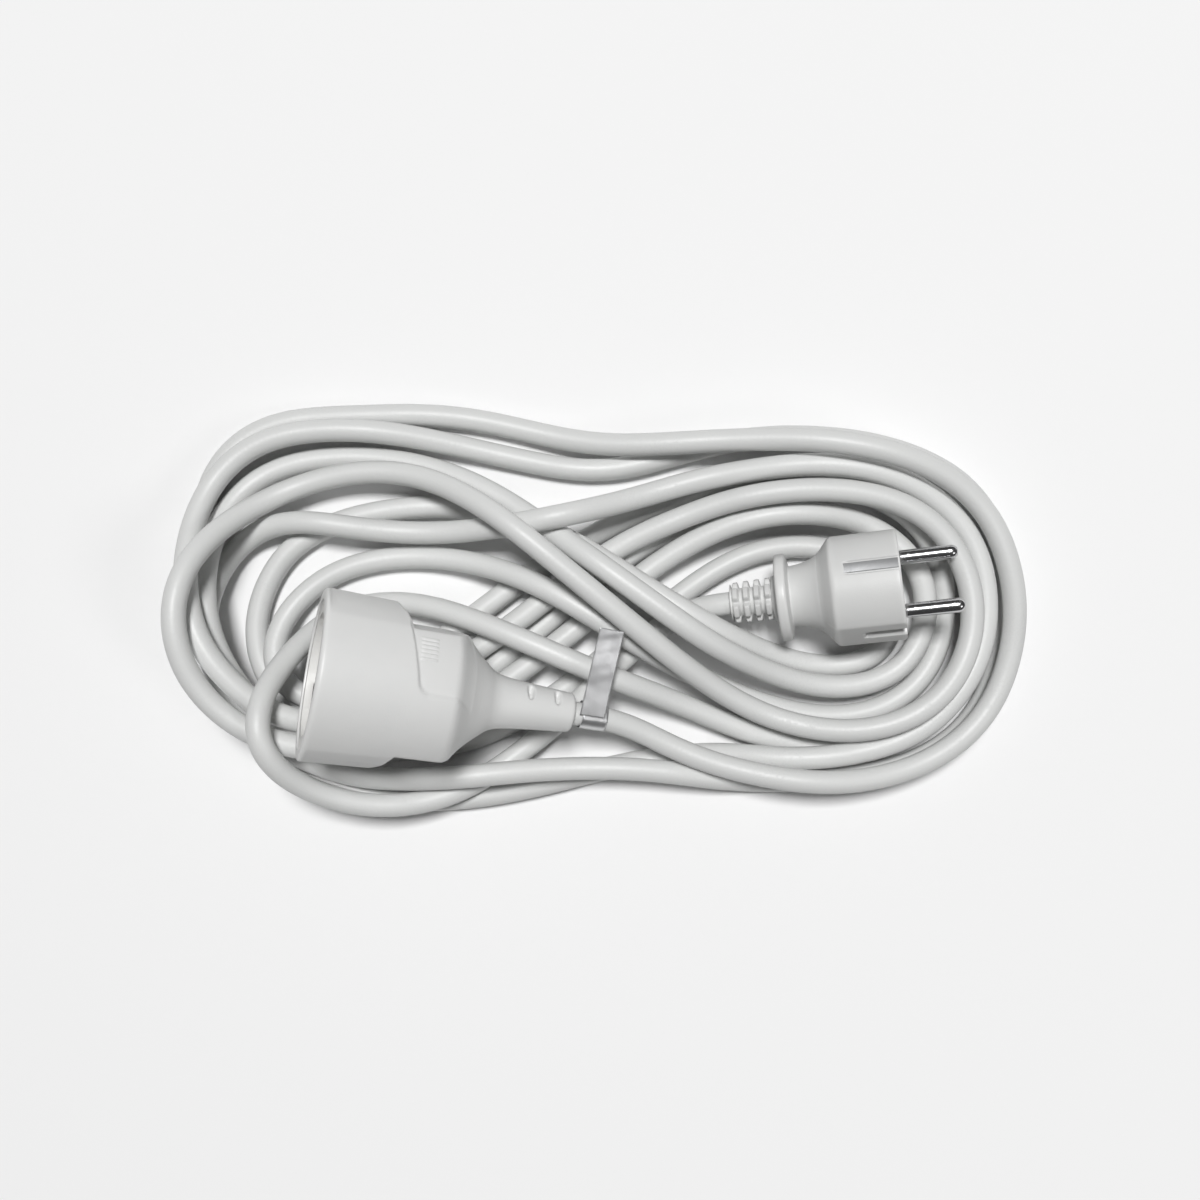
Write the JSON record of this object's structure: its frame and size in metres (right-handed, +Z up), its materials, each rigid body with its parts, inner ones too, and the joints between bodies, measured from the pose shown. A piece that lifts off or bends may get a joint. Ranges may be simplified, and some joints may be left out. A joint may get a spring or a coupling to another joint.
{
  "type": "extension cord",
  "caption": "Three-core extension cord in flat figure-eight laps, with a round earthed plug and a round in-line socket with a sprung shutter.",
  "frame": {"origin": "middle of the footprint of the whole cord, on the surface that it lies on", "axes": "+X along the longest way across the laps, from the socket's mouth towards the plug's pins; +Z up, the shortest way"},
  "size_m": [0.2868, 0.1406, 0.0752],
  "materials": {
    "cord_pvc": "smooth flexible PVC sheath, light grey, half matt",
    "body_pvc": "soft moulded PVC, light grey, half matt",
    "plug_pvc": "soft moulded PVC, light grey, half matt",
    "insert": "hard moulded plastic, off-white",
    "shutter": "hard smooth plastic, white",
    "steel": "nickel-plated spring steel and tinned crimps",
    "brass": "stamped brass contacts",
    "nickel": "nickel-plated turned pins",
    "core_brown": "brown core insulation",
    "core_blue": "blue core insulation",
    "core_green": "green and yellow core insulation",
    "foil": "bare silver foil tag"
  },
  "bodies": {
    "cord_set": {"hank": "cord_pvc", "coupler_lead": "cord_pvc", "plug_lead": "cord_pvc", "label": "foil", "coupler_body": "body_pvc", "coupler_insert": "insert", "coupler_insert_back": "insert", "shutter_spring": "steel", "coupler_line_contact": "brass", "coupler_neutral_contact": "brass", "coupler_earth_strap": "steel", "coupler_crimps": "steel", "coupler_line_core": "core_brown", "coupler_neutral_core": "core_blue", "coupler_earth_core": "core_green", "plug_body": "plug_pvc", "plug_pin_bridge": "insert", "line_pin": "nickel", "neutral_pin": "nickel", "plug_earth_strap": "steel", "plug_earth_sleeve": "brass", "plug_crimps": "steel", "plug_line_core": "core_brown", "plug_neutral_core": "core_blue", "plug_earth_core": "core_green"},
    "shutter": {"shutter_rotor": "shutter"}
  },
  "joints": [
    {"name": "shutter_turn", "type": "hinge", "parent": "cord_set", "child": "shutter", "pos_m": [-0.07, -0.02407, 0.04298], "axis": [-0.9467, 0.1669, 0.2756], "range_deg": [0, 30], "stiffness_Nm_per_rad": 0.002}
  ]
}
